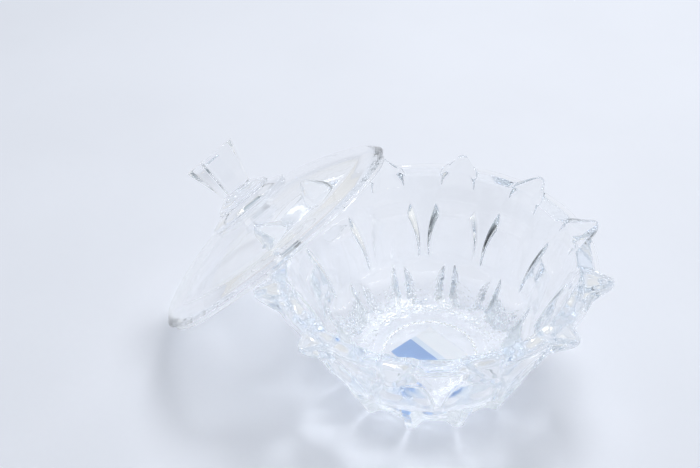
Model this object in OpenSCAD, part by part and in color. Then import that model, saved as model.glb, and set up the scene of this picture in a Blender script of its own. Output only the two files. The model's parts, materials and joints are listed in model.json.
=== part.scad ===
// Candy bowl of clear pressed glass with a loose cover that leans on its rim.
// Sizes are in millimetres. The origin is on the table, at the centre of the foot, with +Z up.
// The cover leans on two rim points on the -X side and stands on the table there.

/* [Bowl] */
// Radius of the mouth at the top of the rim
mouth_radius = 76.4; // [66:0.2:92]
// Width of the flat rim between two points
rim_width = 8; // [6.6:0.2:10]
// Height of the bowl from the table to the top of its rim
bowl_height = 77; // [64:1:94]
// Radius of the foot, measured to the ridges between its hollows
foot_radius = 50; // [42:1:60]
// Thickness of the floor, measured from the table
floor_thickness = 14; // [11:0.5:17]
// Radius of the flat disc of the floor
floor_radius = 27; // [20:1:34]

/* [Rim points] */
// Number of rim points, and of hollows in each row
point_count = 12; // [10:2:14]
// How far a point reaches past the rim
tip_reach = 10.6; // [6:0.2:13]
// Width of a point where it leaves the rim
tip_width = 17; // [12:0.5:20]
// Width of a point half-way out
tip_waist = 7.2; // [5:0.2:10]
// How far down the wall the keel under a point runs
tip_depth = 16; // [10:0.5:22]
// Height of the blunt nose of a point
tip_nose = 2.2; // [1.5:0.1:3]
// Width of the blunt nose of a point
tip_blunt = 2.4; // [1:0.2:4]
// How far the ridge along a point stands above the rim
tip_ridge = 0.8; // [0.4:0.1:1.5]
// How far the side edges of a point lie below the rim
tip_shoulder = 0.8; // [0.4:0.1:1.5]

/* [Wall hollows] */
// Height of the plain band between the rim and the upper hollows
rim_band = 8; // [5:0.5:12]
// Height of the lower ends of the upper hollows
upper_start = 31; // [26:0.5:36]
// Width of the glass left between two upper hollows at their middles
upper_land = 9; // [6:0.5:14]
// Depth of an upper hollow
upper_depth = 4; // [2.5:0.1:4.8]
// Height of the upper ends of the lower hollows
lower_end = 36.5; // [30:0.5:42]
// Height of the middles of the lower hollows, which run out at the foot
lower_middle = 11; // [6:0.5:15]
// Width of the glass left between two lower hollows at their middles
lower_land = 3; // [1.5:0.5:8]
// Depth of a lower hollow
lower_depth = 7.5; // [4:0.1:9]

/* [Foot recess and label] */
// Radius of the shallow recess under the foot
recess_radius = 26; // [24:0.5:31]
// Depth of that recess
recess_depth = 1.6; // [1:0.1:3]
// Length of the paper label stuck in the recess
label_length = 31; // [20:0.5:34]
// Width of that label, across its two fields
label_width = 30; // [12:0.5:32]
// Thickness of that label
label_thickness = 0.2; // [0.1:0.05:0.3]
// Turn of that label about the axis of the bowl
label_turn = 160; // [0:5:180]

/* [Cover] */
// Gap all round between the locating lip and the mouth
lip_clearance = 0.8; // [0.5:0.1:2]
// Height of the locating lip
lip_height = 4; // [2.5:0.1:6]
// Wall of the locating lip
lip_wall = 3.6; // [3:0.1:5]
// Width of the flange that is still on the rim where the cover is pushed over to the other side
flange_hold = 0.4; // [0.2:0.1:2]
// Thickness of the edge of the flange
flange_thickness = 1.4; // [1:0.1:3]
// Width of the sloping shoulder from that edge in to the dome
shoulder_width = 5.2; // [3:0.1:8]
// Height of that shoulder
shoulder_height = 5.8; // [3:0.1:8]
// Height of the outside of the dome above the bottom of the lip
dome_rise = 29; // [24:0.5:33]
// Thickness of the dome at its middle
dome_thickness = 10; // [8:0.5:12]
// Height at which the round of the hollow meets the inside of the lip
hollow_edge = 2; // [1:0.2:4]

/* [Collar and knob] */
// Radius at which the flare of the collar leaves the dome
flare_radius = 25; // [22:0.5:28]
// Height of the top of that flare above the dome
flare_height = 3.5; // [2:0.1:5]
// Radius of the band on the flare
band_radius = 16.5; // [13:0.5:19]
// Height of that band
band_height = 1.5; // [1:0.1:3]
// Height of the cone on the band
cone_height = 4; // [2:0.1:6]
// Width of the four main faces of the knob
knob_face = 10.8; // [7:0.1:13]
// Distance from the axis of the knob to a main face, at its neck
neck_reach = 8.6; // [7.5:0.1:10]
// Distance from the axis of the knob to a main face, at its end
knob_reach = 15.2; // [12:0.1:18]
// Height of the knob
knob_height = 24.5; // [20:0.5:30]

/* [Lean] */
// Angle between the cover and the table
lean_angle = 44; // [38:1:50]
// Gap left between the cover and the two points that it leans on
lean_gap = 0.3; // [0.2:0.05:1]

/* [Hidden] */
$fn = 96;

// Clear glass as photographed
glass_colour = [0.86, 0.91, 0.97, 0.45];
// The blue field of the label
paper_colour = [0.18, 0.38, 0.8];

// Cutters run this far past the faces that they open
overshoot = 2;
// Rim points start this far inside the mouth, so that they join the wall all over
tip_root_inset = 5;
// Corners round the knob, two for each of its four main faces
knob_corners = 8;
// Turn of the first main face about the axis of the cover
knob_turn = 45;
// The knob flares like a trumpet: a higher power keeps its neck straight for longer
knob_flare = 1.25;
// Steps in that flare
knob_levels = 7;

// Radius to the outside of the rim between two points
rim_radius = mouth_radius + rim_width;
// Radius to the noses of the points
tip_radius = rim_radius + tip_reach;
// Angle from one point to the next
pitch = 360 / point_count;

// The outside of the wall is a cone, and the inside runs parallel to it
wall_angle = atan2(rim_radius - foot_radius, bowl_height);
function wall_radius(z) = foot_radius + z * tan(wall_angle);

// Width of a hollow that leaves this much glass up to the next one, at a height
function hollow_width(land, z) = 2 * PI * wall_radius(z) / point_count - land;
// Length along the wall of a hollow that reaches this far above its middle
function hollow_length(reach) = 2 * reach / cos(wall_angle);

// Height and size of the upper hollows
upper_middle = (upper_start + bowl_height - rim_band) / 2;
upper_width = hollow_width(upper_land, upper_middle);
upper_length = hollow_length(upper_middle - upper_start);
// Size of the lower hollows
lower_width = hollow_width(lower_land, lower_middle);
lower_length = hollow_length(lower_end - lower_middle);

// The round between the floor and the wall touches both
hollow_round = ((mouth_radius - floor_radius) * cos(wall_angle)
    - (bowl_height - floor_thickness) * sin(wall_angle)) / (1 - sin(wall_angle));
round_centre = [floor_radius, floor_thickness + hollow_round];
round_end = round_centre + hollow_round * [cos(wall_angle), -sin(wall_angle)];

// The lip goes into the mouth, and the flange lies on the rim
lip_radius = mouth_radius - lip_clearance;
lip_inside = lip_radius - lip_wall;
flange_radius = mouth_radius + lip_clearance + flange_hold;
flange_top = lip_height + flange_thickness;
// The shoulder rises from the flange to the edge of the dome
dome_edge = flange_radius - shoulder_width;
shoulder_top = flange_top + shoulder_height;

// Radius of a round that rises by this much over this half-width
function round_radius(half_width, rise) = (pow(half_width, 2) + pow(rise, 2)) / (2 * rise);
// The dome starts at the shoulder, and the hollow under it starts at the lip
hollow_rise = dome_rise - dome_thickness;
dome_sphere = round_radius(dome_edge, dome_rise - shoulder_top);
hollow_sphere = round_radius(lip_inside, hollow_rise - hollow_edge);

// Heights up the collar. Its flare is drawn from some way inside the dome, at the same slope
flare_low = dome_rise - dome_sphere + sqrt(pow(dome_sphere, 2) - pow(flare_radius, 2));
flare_top = dome_rise + flare_height;
flare_spread = (flare_radius - band_radius) / (flare_top - flare_low);
band_top = flare_top + band_height;
cone_top = band_top + cone_height;
// The cone ends at the corners of the neck
neck_radius = norm([neck_reach, knob_face / 2]);

// The cover stands on its lip and its hollow meets the two points nearest to -X
hollow_centre = hollow_rise - hollow_sphere;
stand_height = lip_radius * sin(lean_angle);
point_drop = bowl_height - stand_height - hollow_centre * cos(lean_angle);
point_side = tip_radius * sin(pitch / 2);
lean_distance = tip_radius * cos(pitch / 2) - hollow_centre * sin(lean_angle)
    - sqrt(pow(hollow_sphere - lean_gap, 2) - pow(point_side, 2) - pow(point_drop, 2));

// Puts a piece of the cover, drawn level with its lip on the table, in its leaning place
module leaning() {
    translate([-lean_distance, 0, stand_height])
        rotate([0, -lean_angle, 0])
            children();
}

// Repeats a shape drawn towards +X round the bowl, shifted by a share of the pitch
module around(shift) {
    for (k = [0 : point_count - 1])
        rotate([0, 0, (k + shift) * pitch])
            children();
}

// Lemon-shaped cutter that leaves a hollow of this width, length and depth in a flat wall.
// Its long axis is Z and the wall it cuts lies at x = 0, with the glass on the -X side.
module hollow_cutter(width, length, depth) {
    girth = (pow(width / 2, 2) + pow(depth, 2)) / (2 * depth);
    bow = (pow(length / 2, 2) + pow(depth, 2)) / (2 * depth);
    translate([girth - depth, 0, 0])
        rotate_extrude()
            intersection() {
                translate([girth - bow, 0])
                    circle(r = bow);
                translate([0, -length])
                    square([girth, 2 * length]);
            }
}

// Sets a cutter on the sloping wall at a height
module on_wall(z) {
    translate([wall_radius(z), 0, z])
        rotate([0, wall_angle, 0])
            children();
}

// Everything inside the bowl, from the floor up through the mouth
module bowl_hollow() {
    rotate_extrude()
        union() {
            intersection() {
                translate(round_centre)
                    circle(r = hollow_round);
                square([mouth_radius, bowl_height]);
            }
            polygon([
                [0, floor_thickness],
                [floor_radius, floor_thickness],
                round_end,
                [mouth_radius + overshoot * tan(wall_angle), bowl_height + overshoot],
                [0, bowl_height + overshoot]
            ]);
        }
}

// One rim point: four-cornered sections from the wall out to the blunt nose,
// with a low ridge above and a keel below
module rim_point() {
    root = mouth_radius - tip_root_inset;
    waist = rim_radius + tip_reach / 2;
    keel_slope = (tip_depth - tip_nose) / (tip_radius - root);
    sections = [
        [root, tip_width / 2, tip_ridge],
        [rim_radius, tip_width / 2, tip_ridge],
        [waist, tip_waist / 2, tip_ridge / 2],
        [tip_radius, tip_blunt / 2, 0]
    ];
    last = len(sections) - 1;
    points = [
        for (s = sections)
            for (corner = [
                [s[0], -s[1], bowl_height - tip_shoulder],
                [s[0], 0, bowl_height + s[2]],
                [s[0], s[1], bowl_height - tip_shoulder],
                [s[0], 0, bowl_height - tip_nose - (tip_radius - s[0]) * keel_slope]
            ])
                corner
    ];
    sides = [
        for (i = [0 : last - 1])
            for (j = [0 : 3])
                let (
                    near = 4 * i + j,
                    near_next = 4 * i + (j + 1) % 4
                )
                    for (half = [[near, near_next, near + 4], [near_next, near_next + 4, near + 4]])
                        half
    ];
    root_end = [3, 2, 1, 0];
    nose_end = [for (j = [0 : 3]) 4 * last + j];
    polyhedron(points, concat([root_end], sides, [nose_end]));
}

module bowl() {
    color(glass_colour)
        difference() {
            union() {
                difference() {
                    cylinder(h = bowl_height, r1 = foot_radius, r2 = rim_radius);
                    around(0.5)
                        on_wall(upper_middle)
                            hollow_cutter(upper_width, upper_length, upper_depth);
                    around(0)
                        on_wall(lower_middle)
                            hollow_cutter(lower_width, lower_length, lower_depth);
                }
                around(0.5)
                    rim_point();
            }
            bowl_hollow();
            translate([0, 0, -overshoot])
                cylinder(h = recess_depth + overshoot, r = recess_radius);
        }
}

module base_label() {
    color(paper_colour)
        rotate([0, 0, label_turn])
            translate([-label_length / 2, -label_width / 2, recess_depth - label_thickness])
                cube([label_length, label_width, label_thickness]);
}

module lid() {
    color(glass_colour)
        leaning()
            difference() {
                union() {
                    cylinder(h = flange_top, r = lip_radius);
                    translate([0, 0, lip_height])
                        cylinder(h = flange_thickness, r = flange_radius);
                    translate([0, 0, flange_top])
                        cylinder(h = shoulder_height, r1 = flange_radius, r2 = dome_edge);
                    intersection() {
                        translate([0, 0, dome_rise - dome_sphere])
                            sphere(r = dome_sphere);
                        translate([0, 0, flange_top])
                            cylinder(h = dome_rise, r = dome_edge);
                    }
                    translate([0, 0, flare_low - overshoot])
                        cylinder(
                            h = flare_top - flare_low + overshoot,
                            r1 = flare_radius + overshoot * flare_spread,
                            r2 = band_radius
                        );
                    cylinder(h = band_top, r = band_radius);
                    translate([0, 0, band_top])
                        cylinder(h = cone_height, r1 = band_radius, r2 = neck_radius);
                }
                intersection() {
                    translate([0, 0, hollow_centre])
                        sphere(r = hollow_sphere);
                    translate([0, 0, -overshoot])
                        cylinder(h = hollow_rise + 2 * overshoot, r = lip_inside);
                }
            }
}

// Flat-sided trumpet: main faces of one width, and faces between them that widen towards the end
module lid_knob() {
    rings = [
        for (i = [0 : knob_levels])
            let (
                share = i / knob_levels,
                reach = neck_reach + (knob_reach - neck_reach) * pow(share, knob_flare)
            )
                [reach, cone_top + knob_height * share]
    ];
    points = [
        for (ring = rings)
            for (face = [0 : 3])
                for (side = [-1, 1])
                    let (
                        turn = knob_turn + 90 * face,
                        out = [cos(turn), sin(turn)],
                        along = [-sin(turn), cos(turn)],
                        corner = ring[0] * out + side * knob_face / 2 * along
                    )
                        [corner[0], corner[1], ring[1]]
    ];
    sides = [
        for (i = [0 : knob_levels - 1])
            for (j = [0 : knob_corners - 1])
                let (
                    low = i * knob_corners + j,
                    low_next = i * knob_corners + (j + 1) % knob_corners
                )
                    [low, low + knob_corners, low_next + knob_corners, low_next]
    ];
    bottom = [for (j = [0 : knob_corners - 1]) j];
    top = [for (j = [knob_corners - 1 : -1 : 0]) knob_levels * knob_corners + j];
    color(glass_colour)
        leaning()
            polyhedron(points, concat([bottom], sides, [top]));
}

bowl();
base_label();
lid();
lid_knob();
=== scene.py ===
import json
import math

import bpy
import numpy as np
from mathutils import Matrix, Vector


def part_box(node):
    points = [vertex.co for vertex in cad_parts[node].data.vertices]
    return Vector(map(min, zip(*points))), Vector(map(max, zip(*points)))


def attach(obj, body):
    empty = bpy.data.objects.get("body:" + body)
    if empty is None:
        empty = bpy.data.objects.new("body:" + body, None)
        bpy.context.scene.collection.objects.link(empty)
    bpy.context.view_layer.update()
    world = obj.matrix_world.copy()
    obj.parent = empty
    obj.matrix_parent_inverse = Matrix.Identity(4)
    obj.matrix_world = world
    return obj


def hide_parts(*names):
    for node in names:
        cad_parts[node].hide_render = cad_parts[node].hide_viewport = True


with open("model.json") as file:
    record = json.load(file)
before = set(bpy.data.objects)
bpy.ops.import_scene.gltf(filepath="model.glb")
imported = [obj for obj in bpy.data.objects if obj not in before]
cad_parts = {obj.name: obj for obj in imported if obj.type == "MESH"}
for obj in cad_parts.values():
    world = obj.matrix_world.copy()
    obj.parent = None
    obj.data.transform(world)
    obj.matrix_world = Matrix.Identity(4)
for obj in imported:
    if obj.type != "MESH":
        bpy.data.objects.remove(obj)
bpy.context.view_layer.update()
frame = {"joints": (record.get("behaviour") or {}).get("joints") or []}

# Sizes are in millimetres until a mesh is made
MM = 0.001

# Bowl
POINT_COUNT = 12
MOUTH_RADIUS = 76.4
RIM_RADIUS = 87.0
RIM_HEIGHT = 77.0
FOOT_RADIUS = 50.0
FOOT_ROUND = 1.0
FOOT_RISE = 0.8
FLOOR_HEIGHT = 14.0
FLOOR_RADIUS = 27.0
RECESS_RADIUS = 26.0
RECESS_HEIGHT = 1.6
RECESS_ROUND = 0.7
BEAD_COUNT = 48
BEAD_DEPTH = 0.5
MOUTH_ROUND = 0.9
MOUTH_FACETING = 0.4
WALL_LEAN = 34.4
WALL_BULGE = 1.6
WALL_ANGLE = math.atan2(WALL_LEAN, RIM_HEIGHT)
PITCH = 2 * math.pi / POINT_COUNT

# Rim points
TIP_RADIUS = 94.4
TIP_ROOT = 82.0
TIP_ROOT_HALF = 9.8
TIP_NOSE_HALF = 2.2
TIP_NOSE_HEIGHT = 2.6
TIP_RAMP_SLOPE = 0.6
TIP_RISE = 0.8
TIP_TOP_SHARE = 0.72
BAND_DROP = 1.0
BAND_FALL = 0.3
EDGE_ROUND = 0.6

# Hollows in the wall. Each starts at a low height, is deepest at a full height and ends at a high one
UPPER_HEIGHTS = (20.0, 53.0, 59.0)
UPPER_DEPTH = 5.8
UPPER_SAG = 1.4
UPPER_LAND = 3.6
UPPER_WAIST = 34.0
UPPER_NARROWING = 0.01
LOWER_HEIGHTS = (-60.0, 19.0, 27.0)
LOWER_DEPTH = 5.5
LOWER_SAG = 2.0
LOWER_LAND = 4.5
HOLLOW_SLOPE = 1.4
CREASE = 0.35

# Mesh of the bowl: rows from the recess round to the floor, and columns across the sector of one point.
# Each crowd of columns has a weight, its angle from the middle of the sector and its width, in degrees
RECESS_ROWS = 3
BEAD_ROWS = 6
FOOT_ROWS = 4
FOOT_ROUND_ROWS = 4
LOW_WALL_ROWS = 40
HIGH_WALL_ROWS = 20
HIGH_WALL_START = 0.8
RIM_ROUND_ROWS = 5
RIM_TOP_ROWS = 16
MOUTH_ROUND_ROWS = 6
INSIDE_ROWS = 10
FLOOR_ROUND_ROWS = 12
FLOOR_SHARES = (0.67, 0.33)
SECTOR_COLUMNS = 64
COLUMN_CROWDS = ((2.5, 0.0, 0.8), (2.2, 6.6, 0.9), (0.6, 11.5, 2.0))
FINE_ANGLES = 2000
HALVINGS = 40

# Cover, in its own upright frame with its lip on z = 0
LIP_RADIUS = 75.6
LIP_INSIDE = 72.0
LIP_HEIGHT = 4.0
LIP_TAPER = 0.2
LIP_ROUND = 1.2
LIP_INSIDE_ROUND = 0.8
FLANGE_RADIUS = 77.6
FLANGE_TOP = 5.4
FLANGE_ROUND = 1.4
SEAT_ROUND = 0.4
SHOULDER_TOP = 11.2
SHOULDER_ROUND = 14.0
SHOULDER_REACH = 6.0
DOME_EDGE = 72.4
DOME_RISE = 29.0
HOLLOW_EDGE = 2.0
HOLLOW_RISE = 23.0
HOLLOW_REACH = 1.0
FLARE_RADIUS = 25.0
FLARE_EDGE = 1.5
FLARE_TOP = 32.3
FLARE_TOP_RADIUS = 15.4
FLARE_REACH = 2.0
BAND_RADIUS = 16.5
BAND_TOP = 34.0
SMALL_ROUND = 0.3
CONE_RADIUS = 12.6
CONE_MIDDLE = 36.3
CONE_TOP = 38.0
KNOB_TOP = 62.5
KNOB_FACE = 10.8
NECK_REACH = 8.6
KNOB_REACH = 15.2
KNOB_FLARE = 1.25
KNOB_EDGE = 0.3
KNOB_END_ROUND = 0.6

# Mesh of the cover
HOLLOW_ROWS = 24
DOME_ROWS = 15
ROUNDING_POINTS = 6
FLAT_HOLD = 0.25
CONE_ROWS = 4
KNOB_ROWS = 14
KNOB_END_ROWS = 4
KNOB_TOP_SHARES = (0.93, 0.6, 0.3)
KNOB_EDGE_POINTS = 5
KNOB_FACE_POINTS = 18
KNOB_FACE_MARGIN = 0.05

# Label. Each field starts at a share of the width and has a colour
LABEL_LENGTH = 31.0
LABEL_WIDTH = 30.0
LABEL_CORNER = 0.6
LABEL_CORNER_POINTS = 5
LABEL_LOW = 1.41
LABEL_HIGH = 1.61
LABEL_TURN = math.radians(160)
LABEL_FIELDS = ((0.0, (0.93, 0.93, 0.94, 1)), (0.38, (0.74, 0.80, 0.88, 1)), (0.5, (0.27, 0.40, 0.66, 1)))

# Range that most values of a noise lie in, and how finely the noises are broken up
NOISE_SPAN = (0.3, 0.7)
SMOOTH = 2.0
FINE = 3.0
FINEST = 4.0

# Glass. Scales are of noises over metres, and heights are of bumps
GLASS_COLOUR = (0.985, 0.992, 1.0, 1)
GLASS_TINT = (0.55, 0.72, 0.88, 1)
GLASS_IOR = 1.52
BOWL_DENSITY = 2.5
COVER_DENSITY = 0.8
HAZE_SCALE = 90.0
HAZE_SPAN = (0.45, 0.8)
HAZE_ROUGHNESS = (0.0, 0.03)
WAVE_SCALE = 120.0
WAVE_HEIGHT = 0.03
RIPPLE_SCALE = 350.0
RIPPLE_HEIGHT = 0.7
RIPPLE_ROUGHNESS = (0.0, 0.1)
RIPPLE_END_HEIGHTS = (17.0, 24.0)
RIPPLE_START_RADII = (30.0, 34.0)

# Paper
FIBRE_SCALE = 2500.0
FIBRE_HEIGHT = 0.03
PAPER_TONES = (0.92, 1.05)
PAPER_ROUGHNESS = (0.5, 0.7)

# Table. Its glow is the share of plain colour in what is seen of it
TABLE_HALF = 4000.0
TABLE_LEVEL = -0.15
TABLE_COLOUR = (0.80, 0.83, 0.905, 1)
TABLE_GLOW = 0.2
TABLE_GLOW_IN_GLASS = 0.65
CLOTH_SCALE = 8.0
CLOTH_TONES = (0.985, 1.015)

# Studio light: how bright the room looks, and how much of it falls on dull surfaces, at the horizon and
# at the zenith. The room darkens towards one side
SHOWN_LIGHT = (0.75, 1.05)
FILL_LIGHT = (0.35, 0.78)
ROOM_SIDE = (-0.25, -0.96, 0.1)
ROOM_SPAN = (0.3, 0.9)
ROOM_COLOURS = ((0.0, (0.97, 0.985, 1.0, 1)), (0.45, (0.52, 0.60, 0.67, 1)), (1.0, (0.04, 0.045, 0.05, 1)))
LAMP_DIRECTION = (-0.024, 0.447, 0.894)
LAMP_DISTANCE = 1200.0
LAMP_SIZE = 400.0
LAMP_WATTS = 6.7

# Camera
CAMERA_AZIMUTH = math.radians(31)
CAMERA_ELEVATION = math.radians(38.3)
CAMERA_ROLL = math.radians(2.28)
CAMERA_TARGET = Vector((-46.9, -2.7, 77.0)) * MM
CAMERA_DISTANCE = 642.2 * MM
CAMERA_LENS = 61.714
CAMERA_SENSOR = 36

# Light takes many turns inside thick glass before it leaves again, and its brightest specks are held down
LIGHT_BOUNCES = 32
LIGHT_CLAMP = 9.0


def soft_min(a, b, k):
    """Smaller of two values, with the crease between them rounded over about k."""
    return np.minimum(a, b) - k * np.log1p(np.exp(-np.abs(a - b) / k))


def soft_max(a, b, k):
    """Larger of two values, with the crease between them rounded over about k."""
    return -soft_min(-a, -b, k)


def ease(t):
    """Smooth step from 0 to 1."""
    t = np.clip(t, 0, 1)
    return t * t * (3 - 2 * t)


def steps(count):
    """Equal shares from just above 0 to 1."""
    return np.linspace(0, 1, count + 1)[1:]


def solve(function, low, high):
    """Root of an increasing function, found by halving between two arrays."""
    for _ in range(HALVINGS):
        middle = (low + high) / 2
        over = function(middle) > 0
        high = np.where(over, middle, high)
        low = np.where(over, low, middle)
    return (low + high) / 2


def wall_radius(z):
    """Outside of the wall without its hollows."""
    return FOOT_RADIUS + z * math.tan(WALL_ANGLE) + WALL_BULGE * np.sin(math.pi * z / RIM_HEIGHT)


def hollow(turn, z, heights, depth, sag, land):
    """Depth of a hollow at an angle from its middle: steep straight sides and a dished floor."""
    low, full, high = heights
    rise = np.clip((z - low) / (full - low), 0, 1)
    half_width = wall_radius(z) * math.sin(PITCH / 2) - land / 2
    across = np.abs(wall_radius(z) * np.sin(turn))
    dish = depth + sag * np.clip(1 - (across / half_width) ** 2, 0, 1)
    floor = dish * rise * ease((high - z) / (high - full))
    return soft_min(HOLLOW_SLOPE * (half_width - across), floor, CREASE)


def hollow_depth(turn, z):
    """Depth of the upper hollows, under the rim points, and of the lower ones, which scallop the foot."""
    upper_land = UPPER_LAND + 2 * UPPER_NARROWING * (z - UPPER_WAIST) ** 2
    upper = hollow(turn, z, UPPER_HEIGHTS, UPPER_DEPTH, UPPER_SAG, upper_land)
    lower = hollow(PITCH / 2 - np.abs(turn), z, LOWER_HEIGHTS, LOWER_DEPTH, LOWER_SAG, LOWER_LAND)
    deeper = soft_max(upper, lower, CREASE)
    return soft_max(deeper, np.zeros_like(deeper), CREASE)


def tip_half_width(x):
    """Half the width of a rim point, seen from above, at a distance from the axis of the bowl."""
    share = np.clip((x - TIP_ROOT) / (TIP_RADIUS - TIP_ROOT), 0, 1)
    width = TIP_ROOT_HALF + (TIP_NOSE_HALF - TIP_ROOT_HALF) * share
    nose = np.clip((x - TIP_RADIUS + TIP_NOSE_HALF) / TIP_NOSE_HALF, 0, 1)
    return width * np.sqrt(np.clip(1 - nose ** 2, 1e-6, 1))


def tip_outline(turn):
    """Distance from the axis to the outline of a rim point in a direction near it."""
    def outside(r):
        return np.abs(r * np.sin(turn)) - tip_half_width(r * np.cos(turn))
    return solve(outside, np.zeros_like(turn), np.full_like(turn, TIP_RADIUS))


def tip_reach(turn, z):
    """Distance from the axis to the outside of a rim point at a height: upright sides, sloping underside."""
    below_nose = np.maximum(RIM_HEIGHT - TIP_NOSE_HEIGHT - z, 0)
    ramp = (TIP_RADIUS - below_nose / TIP_RAMP_SLOPE) / np.cos(turn)
    return soft_min(tip_outline(turn), ramp, CREASE)


def outer_radius(turn, z):
    """Outside of the bowl at a height, with its hollows and the rim points that stand out of it."""
    wall = wall_radius(z) - hollow_depth(turn, z) / math.cos(WALL_ANGLE)
    return soft_max(wall, tip_reach(turn, z), CREASE)


def rim_edge(turn):
    """Outline of the rim seen from above."""
    return soft_max(np.full_like(turn, RIM_RADIUS), tip_outline(turn), CREASE)


def top_height(turn, r):
    """Height of the top of the rim: each point has a flat top and sloping sides, which run down to a band."""
    half_width = tip_half_width(r * np.cos(turn))
    inside = 1 - np.abs(r * np.sin(turn)) / half_width
    outward = np.clip((r - MOUTH_RADIUS) / (RIM_RADIUS - MOUTH_RADIUS), 0, 1)
    band = RIM_HEIGHT - BAND_DROP - BAND_FALL * outward
    leaf = np.clip(inside / (1 - TIP_TOP_SHARE), 0, 1)
    return band + (RIM_HEIGHT + TIP_RISE - band) * leaf


def inner_radius(turn, z):
    """Inside of the wall: a cone that turns slightly twelve-sided near the mouth."""
    flat = MOUTH_RADIUS * (1 - math.cos(PITCH / 2) / np.cos(PITCH / 2 - np.abs(turn)))
    share = np.clip((z - FLOOR_HEIGHT) / (RIM_HEIGHT - FLOOR_HEIGHT), 0, 1)
    return MOUTH_RADIUS - (RIM_HEIGHT - z) * math.tan(WALL_ANGLE) - MOUTH_FACETING * share * flat


def curve(start, corner, end, count):
    """Rows of a quadratic curve between two (radius, height) rows, without the first one."""
    rows = []
    for t in steps(count):
        shares = ((1 - t) ** 2, 2 * t * (1 - t), t ** 2)
        rows.append(tuple(np.dot(shares, np.broadcast_arrays(*three)) for three in zip(start, corner, end)))
    return rows


def foot_rows(turn):
    """From the middle of the recess, over its beaded edge, out to the rounded edge of the foot."""
    flat = RECESS_RADIUS - 2 * RECESS_ROUND
    rows = [(flat * share, RECESS_HEIGHT) for share in steps(RECESS_ROWS)]
    for t in np.linspace(0, 1, BEAD_ROWS):
        height = FOOT_RISE + (RECESS_HEIGHT - FOOT_RISE) * (1 + math.cos(math.pi * t)) / 2
        bead = BEAD_DEPTH * math.sin(math.pi * t) * np.cos(BEAD_COUNT * turn)
        rows.append((RECESS_RADIUS + RECESS_ROUND * (2 * t - 1) + bead, height))
    edge = outer_radius(turn, np.full_like(turn, FOOT_ROUND))
    ring = RECESS_RADIUS + 2 * RECESS_ROUND
    for t in np.linspace(0, 1, FOOT_ROWS):
        rows.append((ring + (edge - FOOT_ROUND - ring) * t, FOOT_RISE * (1 - t)))
    return rows + curve(rows[-1], (edge, 0.0), (edge, FOOT_ROUND), FOOT_ROUND_ROWS)


def wall_rows(turn):
    """Up the outside of the wall to the edge of the rim, in closer rows where the points stand out."""
    edge = rim_edge(turn)
    top = top_height(turn, edge - EDGE_ROUND) - EDGE_ROUND
    low_shares = HIGH_WALL_START * steps(LOW_WALL_ROWS)
    high_shares = HIGH_WALL_START + (1 - HIGH_WALL_START) * steps(HIGH_WALL_ROWS)
    rows = []
    for share in np.concatenate([low_shares, high_shares]):
        z = FOOT_ROUND + (top - FOOT_ROUND) * share
        rows.append((np.minimum(outer_radius(turn, z), edge), z))
    return rows


def rim_rows(turn, start):
    """Round the edge of the rim, over its top and round the edge of the mouth."""
    edge = rim_edge(turn)
    inner = edge - EDGE_ROUND
    top = top_height(turn, inner)
    rows = curve(start, (edge, top), (inner, top), RIM_ROUND_ROWS)
    mouth = inner_radius(turn, RIM_HEIGHT) + MOUTH_ROUND
    for t in steps(RIM_TOP_ROWS):
        r = inner + (mouth - inner) * t
        rows.append((r, top_height(turn, r)))
    high = rows[-1][1]
    low = high - MOUTH_ROUND
    corner = (inner_radius(turn, high), high)
    end = (inner_radius(turn, low), low)
    return rows + curve(rows[-1], corner, end, MOUTH_ROUND_ROWS)


def inside_rows(turn, start):
    """Down the inside of the wall and round into the floor."""
    slope = math.sin(WALL_ANGLE)
    round_radius = ((MOUTH_RADIUS - FLOOR_RADIUS) * math.cos(WALL_ANGLE)
                    - (RIM_HEIGHT - FLOOR_HEIGHT) * slope) / (1 - slope)
    top = FLOOR_HEIGHT + round_radius * (1 - slope)
    rows = []
    for t in steps(INSIDE_ROWS):
        z = start[1] + (top - start[1]) * t
        rows.append((inner_radius(turn, z), z))
    leftover = rows[-1][0] - FLOOR_RADIUS - round_radius * math.cos(WALL_ANGLE)
    for t in steps(FLOOR_ROUND_ROWS):
        angle = WALL_ANGLE + (math.pi / 2 - WALL_ANGLE) * t
        r = FLOOR_RADIUS + round_radius * math.cos(angle) + (1 - t) * leftover
        rows.append((r, FLOOR_HEIGHT + round_radius * (1 - math.sin(angle))))
    return rows + [(FLOOR_RADIUS * share, FLOOR_HEIGHT) for share in FLOOR_SHARES]


def sector_columns():
    """Angles across one sector, crowded at the nose and sides of the point and the sides of the hollows."""
    fine = np.linspace(0, PITCH / 2, FINE_ANGLES)
    total = np.ones_like(fine)
    for weight, middle, width in COLUMN_CROWDS:
        total += weight * np.exp(-((fine - math.radians(middle)) / math.radians(width)) ** 2)
    total = np.cumsum(total)
    shares = (total - total[0]) / (total[-1] - total[0])
    half = np.interp(np.linspace(0, 1, SECTOR_COLUMNS // 2 + 1), shares, fine)
    return np.concatenate([-half[::-1], half[1:-1]])


def new_piece(name, verts, faces, smooth):
    """Mesh object in the scene."""
    mesh = bpy.data.meshes.new(name)
    mesh.from_pydata(verts, [], faces)
    mesh.polygons.foreach_set("use_smooth", np.full(len(mesh.polygons), smooth))
    mesh.update()
    piece = bpy.data.objects.new(name, mesh)
    bpy.context.scene.collection.objects.link(piece)
    return piece


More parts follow.
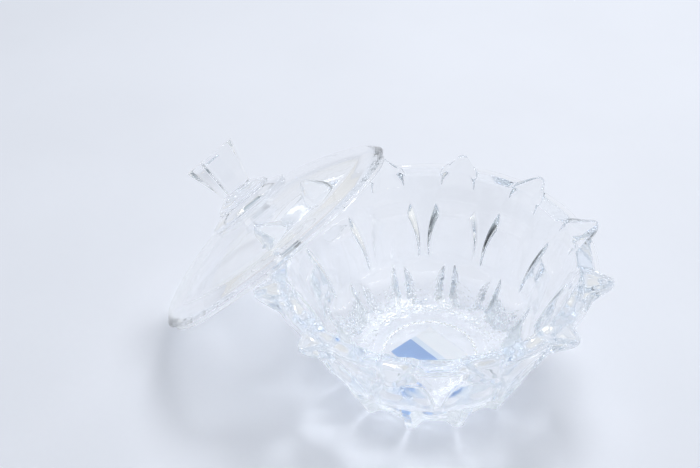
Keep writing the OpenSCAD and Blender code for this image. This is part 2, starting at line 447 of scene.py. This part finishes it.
def grid_piece(name, points, bottom, top):
    """Closed smooth mesh from rings of points round an axis, with a middle point at each end."""
    rings, columns, _ = points.shape
    index = np.arange(rings * columns).reshape(rings, columns)
    after = np.roll(index, -1, axis=1)
    quads = np.stack([index[:-1], after[:-1], after[1:], index[1:]], axis=-1).reshape(-1, 4)
    low = rings * columns
    faces = quads.tolist()
    faces += [(b, a, low) for a, b in zip(index[0].tolist(), after[0].tolist())]
    faces += [(a, b, low + 1) for a, b in zip(index[-1].tolist(), after[-1].tolist())]
    verts = np.concatenate([points.reshape(-1, 3), [bottom, top]]) * MM
    return new_piece(name, verts.tolist(), faces, True)


def make_bowl():
    """Bowl in one piece of glass: the rows of one sector, repeated round the axis."""
    sector = sector_columns()
    rows = foot_rows(sector)
    rows += wall_rows(sector)
    rows += rim_rows(sector, rows[-1])
    rows += inside_rows(sector, rows[-1])
    whole = np.ones_like(sector)
    radius = np.tile([r * whole for r, _ in rows], POINT_COUNT)
    height = np.tile([z * whole for _, z in rows], POINT_COUNT)
    turn = np.concatenate([sector + (k + 0.5) * PITCH for k in range(POINT_COUNT)])
    points = np.stack([radius * np.cos(turn), radius * np.sin(turn), height], axis=-1)
    return grid_piece("bowl_glass", points, (0, 0, RECESS_HEIGHT), (0, 0, FLOOR_HEIGHT))


def rounded(corners):
    """Profile through (radius, height, rounding) corners; a near point holds each flat beside a rounding."""
    points = [np.array(corners[0][:2], float)]
    for before, corner, after in zip(corners, corners[1:], corners[2:]):
        rounding = corner[2]
        here = np.array(corner[:2], float)
        back = np.array(before[:2], float) - here
        ahead = np.array(after[:2], float) - here
        back /= np.linalg.norm(back)
        ahead /= np.linalg.norm(ahead)
        half = math.acos(np.dot(back, ahead)) / 2
        reach = rounding / math.tan(half)
        centre = here + (back + ahead) / np.linalg.norm(back + ahead) * rounding / math.sin(half)
        points.append(here + back * (reach + FLAT_HOLD * rounding))
        for t in np.linspace(0, 1, ROUNDING_POINTS):
            arm = here + (1 - t) * back * reach + t * ahead * reach - centre
            points.append(centre + arm / np.linalg.norm(arm) * rounding)
        points.append(here + ahead * (reach + FLAT_HOLD * rounding))
    return points + [np.array(corners[-1][:2], float)]


def round_height(r, edge, low, high):
    """Height of a round that rises from low at the radius edge to high in the middle."""
    sphere = (edge ** 2 + (high - low) ** 2) / (2 * (high - low))
    return high - sphere + np.sqrt(sphere ** 2 - r ** 2)


def hollow_height(r):
    """Height of the cover's inside."""
    return round_height(r, LIP_INSIDE, HOLLOW_EDGE, HOLLOW_RISE)


def dome_height(r):
    """Height of the cover's outside."""
    return round_height(r, DOME_EDGE, SHOULDER_TOP, DOME_RISE)


def cover_profile():
    """Half section of the cover, from the middle of its hollow round to its cone."""
    near_lip = LIP_INSIDE - HOLLOW_REACH
    near_shoulder = DOME_EDGE - SHOULDER_REACH
    near_flare = FLARE_RADIUS + FLARE_REACH
    flare_foot = dome_height(FLARE_RADIUS)
    profile = [(r, hollow_height(r)) for r in near_lip * steps(HOLLOW_ROWS)[:-1]]
    profile += rounded([
        (near_lip, hollow_height(near_lip), 0),
        (LIP_INSIDE, HOLLOW_EDGE, SMALL_ROUND),
        (LIP_INSIDE + LIP_TAPER, 0, LIP_INSIDE_ROUND),
        (LIP_RADIUS, 0, LIP_ROUND),
        (LIP_RADIUS, LIP_HEIGHT, SEAT_ROUND),
        (FLANGE_RADIUS, LIP_HEIGHT, SEAT_ROUND),
        (FLANGE_RADIUS, FLANGE_TOP, FLANGE_ROUND),
        (DOME_EDGE, SHOULDER_TOP, SHOULDER_ROUND),
        (near_shoulder, dome_height(near_shoulder), 0),
    ])
    dome_radii = near_shoulder + (near_flare - near_shoulder) * steps(DOME_ROWS)[:-1]
    profile += [(r, dome_height(r)) for r in dome_radii]
    profile += rounded([
        (near_flare, dome_height(near_flare), 0),
        (FLARE_RADIUS, flare_foot, SMALL_ROUND),
        (FLARE_RADIUS, flare_foot + FLARE_EDGE, SMALL_ROUND),
        (FLARE_TOP_RADIUS, FLARE_TOP, SMALL_ROUND),
        (BAND_RADIUS, FLARE_TOP, SMALL_ROUND),
        (BAND_RADIUS, BAND_TOP, SMALL_ROUND),
        (CONE_RADIUS, CONE_MIDDLE, 0),
    ])
    return profile


def knob_ring(reach):
    """Rounded outline of the knob at one level: four main faces of one width, and four between them."""
    corners = []
    for face in range(4):
        turn = math.radians(45 + 90 * face)
        out = np.array([math.cos(turn), math.sin(turn)])
        along = np.array([-math.sin(turn), math.cos(turn)])
        corners += [reach * out - KNOB_FACE / 2 * along, reach * out + KNOB_FACE / 2 * along]
    ring = []
    for before, corner, after in zip(corners[-1:] + corners[:-1], corners, corners[1:] + corners[:1]):
        room = np.linalg.norm(after - corner)
        back = (before - corner) / np.linalg.norm(before - corner)
        ahead = (after - corner) / room
        for t in np.linspace(0, 1, KNOB_EDGE_POINTS):
            ring.append(corner + KNOB_EDGE * (back * (1 - t) ** 2 + ahead * t ** 2))
        for share in np.linspace(KNOB_FACE_MARGIN, 1 - KNOB_FACE_MARGIN, KNOB_FACE_POINTS):
            ring.append(corner + ahead * (KNOB_EDGE + (room - 2 * KNOB_EDGE) * share))
    return np.array(ring)


def level(outline, z):
    """Ring of points at one height."""
    return np.column_stack([outline, np.full(len(outline), z)])


def lean(points):
    """Places points of the upright cover where it leans: its axis is the joint's, its lip is on the table."""
    axis = frame["joints"][0]["axis"]
    angle = math.atan2(-axis[0], axis[2])
    x, y, z = points[..., 0], points[..., 1], points[..., 2]
    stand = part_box("lid")[1].x / MM - LIP_RADIUS * math.cos(angle)
    placed_x = stand + x * math.cos(angle) - z * math.sin(angle)
    placed_z = LIP_RADIUS * math.sin(angle) + x * math.sin(angle) + z * math.cos(angle)
    return np.stack([placed_x, y, placed_z], axis=-1)


def make_cover():
    """Lid and knob as one piece of glass, as light sees them."""
    neck = knob_ring(NECK_REACH)
    circle = neck / np.linalg.norm(neck, axis=1)[:, None]
    rings = [level(circle * r, z) for r, z in cover_profile()]
    for t in steps(CONE_ROWS):
        outline = circle * CONE_RADIUS * (1 - t) + neck * t
        rings.append(level(outline, CONE_MIDDLE + (CONE_TOP - CONE_MIDDLE) * t))
    for t in steps(KNOB_ROWS):
        outline = knob_ring(NECK_REACH + (KNOB_REACH - NECK_REACH) * t ** KNOB_FLARE)
        rings.append(level(outline, CONE_TOP + (KNOB_TOP - KNOB_END_ROUND - CONE_TOP) * t))
    for angle in steps(KNOB_END_ROWS) * math.pi / 2:
        shrink = 1 - KNOB_END_ROUND / KNOB_REACH * (1 - math.cos(angle))
        rings.append(level(outline * shrink, KNOB_TOP - KNOB_END_ROUND * (1 - math.sin(angle))))
    rings += [level(outline * shrink, KNOB_TOP) for shrink in KNOB_TOP_SHARES]
    bottom = lean(np.array([0, 0, HOLLOW_RISE]))
    top = lean(np.array([0, 0, KNOB_TOP]))
    return grid_piece("cover_glass", lean(np.stack(rings)), bottom, top)


def make_label():
    """Thin sheet with rounded corners, pressed a hair into the glass that it sticks to."""
    outline = []
    for quarter, (side_x, side_y) in enumerate(((1, 1), (-1, 1), (-1, -1), (1, -1))):
        for t in np.linspace(0, 1, LABEL_CORNER_POINTS):
            angle = math.pi / 2 * (quarter + t)
            x = side_x * (LABEL_LENGTH / 2 - LABEL_CORNER) + LABEL_CORNER * math.cos(angle)
            y = side_y * (LABEL_WIDTH / 2 - LABEL_CORNER) + LABEL_CORNER * math.sin(angle)
            outline.append((x, y))
    count = len(outline)
    verts = [(x * MM, y * MM, z * MM) for z in (LABEL_LOW, LABEL_HIGH) for x, y in outline]
    faces = [tuple(reversed(range(count))), tuple(range(count, 2 * count))]
    faces += [(j, (j + 1) % count, count + (j + 1) % count, count + j) for j in range(count)]
    piece = new_piece("label", verts, faces, False)
    piece.data.transform(Matrix.Rotation(LABEL_TURN, 4, "Z"))
    return piece


class Nodes:
    """Short way to fill a node tree."""

    def __init__(self, tree):
        self.tree = tree
        tree.nodes.clear()

    def add(self, kind, **settings):
        node = self.tree.nodes.new(kind)
        for key, value in settings.items():
            setattr(node, key, value)
        return node

    def link(self, source, target):
        self.tree.links.new(source, target)

    def noise(self, place, scale, detail):
        node = self.add("ShaderNodeTexNoise")
        node.inputs["Scale"].default_value = scale
        node.inputs["Detail"].default_value = detail
        self.link(place, node.inputs["Vector"])
        return node.outputs["Fac"]

    def spread(self, source, span, values):
        """Maps the two ends of a span onto two values."""
        node = self.add("ShaderNodeMapRange")
        node.inputs["From Min"].default_value = span[0]
        node.inputs["From Max"].default_value = span[1]
        node.inputs["To Min"].default_value = values[0]
        node.inputs["To Max"].default_value = values[1]
        self.link(source, node.inputs["Value"])
        return node.outputs["Result"]

    def math(self, operation, a, b):
        node = self.add("ShaderNodeMath", operation=operation)
        self.link(a, node.inputs[0])
        self.link(b, node.inputs[1])
        return node.outputs["Value"]

    def split(self, vector):
        """The X, Y and Z of a vector."""
        node = self.add("ShaderNodeSeparateXYZ")
        self.link(vector, node.inputs["Vector"])
        return node.outputs

    def tint(self, colour, tone):
        """Colour scaled by a tone near 1."""
        node = self.add("ShaderNodeVectorMath", operation="SCALE")
        if isinstance(colour, tuple):
            node.inputs["Vector"].default_value = colour[:3]
        else:
            self.link(colour, node.inputs["Vector"])
        self.link(tone, node.inputs["Scale"])
        return node.outputs["Vector"]

    def ramp(self, source, stops, kind):
        """Colours between three stops, each a position and a colour."""
        node = self.add("ShaderNodeValToRGB")
        node.color_ramp.interpolation = kind
        node.color_ramp.elements.new(stops[1][0])
        for element, (position, colour) in zip(node.color_ramp.elements, stops):
            element.position = position
            element.color = colour
        self.link(source, node.inputs["Fac"])
        return node.outputs["Color"]

    def bump(self, shape, height, under=None):
        """Normal of a bumped surface, on top of the bumps under it."""
        node = self.add("ShaderNodeBump")
        node.inputs["Distance"].default_value = height * MM
        self.link(shape, node.inputs["Height"])
        if under is not None:
            self.link(under, node.inputs["Normal"])
        return node.outputs["Normal"]

    def shown(self):
        """1 for what is seen straight, mirrored or through glass, and 0 for light on dull surfaces."""
        path = self.add("ShaderNodeLightPath").outputs
        straight = self.math("MAXIMUM", path["Is Camera Ray"], path["Is Glossy Ray"])
        return self.math("MAXIMUM", straight, path["Is Transmission Ray"])


def new_material(name):
    """Material with an empty node tree."""
    material = bpy.data.materials.new(name)
    material.use_nodes = True
    return material, Nodes(material.node_tree)


def ripple_place(n, place):
    """1 low on the bowl and outside of its clear floor, and 0 elsewhere."""
    flat = n.add("ShaderNodeVectorMath", operation="MULTIPLY")
    flat.inputs[1].default_value = (1, 1, 0)
    n.link(place, flat.inputs[0])
    radius = n.add("ShaderNodeVectorMath", operation="LENGTH")
    n.link(flat.outputs["Vector"], radius.inputs[0])
    heights = [height * MM for height in RIPPLE_END_HEIGHTS]
    radii = [r * MM for r in RIPPLE_START_RADII]
    low = n.spread(n.split(place)["Z"], heights, (1.0, 0.0))
    out_of_floor = n.spread(radius.outputs["Value"], radii, (0.0, 1.0))
    return n.math("MULTIPLY", low, out_of_floor)


def glass_material(name, rippled, density):
    """Clear pressed glass with faint waves from the mould and a little handling haze."""
    material, n = new_material(name)
    out = n.add("ShaderNodeOutputMaterial")
    shader = n.add("ShaderNodeBsdfPrincipled")
    shader.inputs["Base Color"].default_value = GLASS_COLOUR
    shader.inputs["Transmission Weight"].default_value = 1.0
    shader.inputs["IOR"].default_value = GLASS_IOR
    place = n.add("ShaderNodeTexCoord").outputs["Object"]
    roughness = n.spread(n.noise(place, HAZE_SCALE, FINE), HAZE_SPAN, HAZE_ROUGHNESS)
    normal = n.bump(n.noise(place, WAVE_SCALE, SMOOTH), WAVE_HEIGHT)
    if rippled:
        where = ripple_place(n, place)
        shape = n.math("MULTIPLY", n.noise(place, RIPPLE_SCALE, SMOOTH), where)
        normal = n.bump(shape, RIPPLE_HEIGHT, normal)
        roughness = n.math("MAXIMUM", roughness, n.spread(where, (0.0, 1.0), RIPPLE_ROUGHNESS))
    n.link(roughness, shader.inputs["Roughness"])
    n.link(normal, shader.inputs["Normal"])
    tint = n.add("ShaderNodeVolumeAbsorption")
    tint.inputs["Color"].default_value = GLASS_TINT
    tint.inputs["Density"].default_value = density
    n.link(tint.outputs["Volume"], out.inputs["Volume"])
    n.link(shader.outputs["BSDF"], out.inputs["Surface"])
    return material


def paper_material():
    """Printed paper: a white field, a narrow pale one and a blue one."""
    material, n = new_material("label_paper")
    out = n.add("ShaderNodeOutputMaterial")
    shader = n.add("ShaderNodeBsdfPrincipled")
    place = n.add("ShaderNodeTexCoord").outputs["Object"]
    turn = n.add("ShaderNodeMapping")
    turn.inputs["Rotation"].default_value = (0, 0, -LABEL_TURN)
    n.link(place, turn.inputs["Vector"])
    edge = LABEL_WIDTH / 2 * MM
    across = n.spread(n.split(turn.outputs["Vector"])["Y"], (-edge, edge), (0.0, 1.0))
    fields = n.ramp(across, LABEL_FIELDS, "CONSTANT")
    fibre = n.noise(place, FIBRE_SCALE, FINE)
    n.link(n.tint(fields, n.spread(fibre, NOISE_SPAN, PAPER_TONES)), shader.inputs["Base Color"])
    n.link(n.spread(fibre, NOISE_SPAN, PAPER_ROUGHNESS), shader.inputs["Roughness"])
    n.link(n.bump(fibre, FIBRE_HEIGHT), shader.inputs["Normal"])
    n.link(shader.outputs["BSDF"], out.inputs["Surface"])
    return material


def table_material():
    """Pale cloth. Part of what is seen of it is its plain colour, and more of it in glass."""
    material, n = new_material("pale_table")
    out = n.add("ShaderNodeOutputMaterial")
    place = n.add("ShaderNodeTexCoord").outputs["Object"]
    colour = n.tint(TABLE_COLOUR, n.spread(n.noise(place, CLOTH_SCALE, FINEST), NOISE_SPAN, CLOTH_TONES))
    dull = n.add("ShaderNodeBsdfDiffuse")
    n.link(colour, dull.inputs["Color"])
    plain = n.add("ShaderNodeEmission")
    n.link(colour, plain.inputs["Color"])
    mix = n.add("ShaderNodeMixShader")
    straight = n.add("ShaderNodeLightPath").outputs["Is Camera Ray"]
    glow = n.spread(straight, (0.0, 1.0), (TABLE_GLOW_IN_GLASS, TABLE_GLOW))
    n.link(n.math("MULTIPLY", n.shown(), glow), mix.inputs["Fac"])
    n.link(dull.outputs["BSDF"], mix.inputs[1])
    n.link(plain.outputs["Emission"], mix.inputs[2])
    n.link(mix.outputs["Shader"], out.inputs["Surface"])
    return material


def make_table():
    """Plain floor, a hair below the foot: glass that touches it would show a dark patch."""
    half = TABLE_HALF * MM
    corners = [(-half, -half), (half, -half), (half, half), (-half, half)]
    table = new_piece("table", [(x, y, TABLE_LEVEL * MM) for x, y in corners], [(0, 1, 2, 3)], False)
    table.data.materials.append(table_material())


def make_world():
    """Soft light that falls off towards the camera's side of the room, which glass shows dark."""
    world = bpy.data.worlds.new("studio")
    bpy.context.scene.world = world
    world.use_nodes = True
    n = Nodes(world.node_tree)
    out = n.add("ShaderNodeOutputWorld")
    back = n.add("ShaderNodeBackground")
    place = n.add("ShaderNodeTexCoord").outputs["Generated"]
    side = n.add("ShaderNodeVectorMath", operation="DOT_PRODUCT")
    side.inputs[1].default_value = ROOM_SIDE
    n.link(place, side.inputs[0])
    towards = n.spread(side.outputs["Value"], ROOM_SPAN, (0.0, 1.0))
    n.link(n.ramp(towards, ROOM_COLOURS, "LINEAR"), back.inputs["Color"])
    up = n.split(place)["Z"]
    blend = n.add("ShaderNodeMix")
    n.link(n.shown(), blend.inputs["Factor"])
    n.link(n.spread(up, (0.0, 1.0), FILL_LIGHT), blend.inputs["A"])
    n.link(n.spread(up, (0.0, 1.0), SHOWN_LIGHT), blend.inputs["B"])
    n.link(blend.outputs["Result"], back.inputs["Strength"])
    n.link(back.outputs["Background"], out.inputs["Surface"])


def make_lamp():
    """Round soft lamp that faces the object. Glass doesn't mirror it on its outside."""
    data = bpy.data.lights.new("key", "AREA")
    data.shape = "DISK"
    data.size = LAMP_SIZE * MM
    data.energy = LAMP_WATTS
    lamp = bpy.data.objects.new("key", data)
    aim = Vector(LAMP_DIRECTION).normalized()
    lamp.location = aim * LAMP_DISTANCE * MM
    lamp.rotation_euler = aim.to_track_quat("Z", "Y").to_euler()
    lamp.visible_glossy = False
    bpy.context.scene.collection.objects.link(lamp)


def make_camera():
    """Camera at the photograph's angle, slightly rolled."""
    data = bpy.data.cameras.new("camera")
    data.lens = CAMERA_LENS
    data.sensor_width = CAMERA_SENSOR
    camera = bpy.data.objects.new("camera", data)
    ground = math.cos(CAMERA_ELEVATION)
    away = Vector((math.sin(CAMERA_AZIMUTH) * ground, -math.cos(CAMERA_AZIMUTH) * ground,
                   math.sin(CAMERA_ELEVATION)))
    right = Vector((math.cos(CAMERA_AZIMUTH), math.sin(CAMERA_AZIMUTH), 0))
    turn = Matrix((right, away.cross(right), away)).transposed() @ Matrix.Rotation(-CAMERA_ROLL, 3, "Z")
    camera.matrix_world = Matrix.Translation(CAMERA_TARGET + away * CAMERA_DISTANCE) @ turn.to_4x4()
    bpy.context.scene.collection.objects.link(camera)
    bpy.context.scene.camera = camera


def set_light_paths():
    """How far light is followed, and the plain view of it."""
    scene = bpy.context.scene
    scene.cycles.max_bounces = LIGHT_BOUNCES
    scene.cycles.transmission_bounces = LIGHT_BOUNCES
    scene.cycles.glossy_bounces = LIGHT_BOUNCES
    scene.cycles.blur_glossy = 0.0
    scene.cycles.sample_clamp_indirect = LIGHT_CLAMP
    scene.view_settings.view_transform = "Standard"


def finish_piece(piece, material, body, nodes):
    """Gives a piece its material and says which body it rides on and which nodes it stands for."""
    piece.data.materials.append(material)
    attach(piece, body)
    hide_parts(*nodes)


bowl_glass = glass_material("bowl_glass", True, BOWL_DENSITY)
finish_piece(make_bowl(), bowl_glass, "bowl", ["bowl"])
cover_glass = glass_material("cover_glass", False, COVER_DENSITY)
finish_piece(make_cover(), cover_glass, "lid", ["lid", "lid_knob"])
finish_piece(make_label(), paper_material(), "bowl", ["base_label"])

make_table()
make_world()
make_lamp()
make_camera()
set_light_paths()
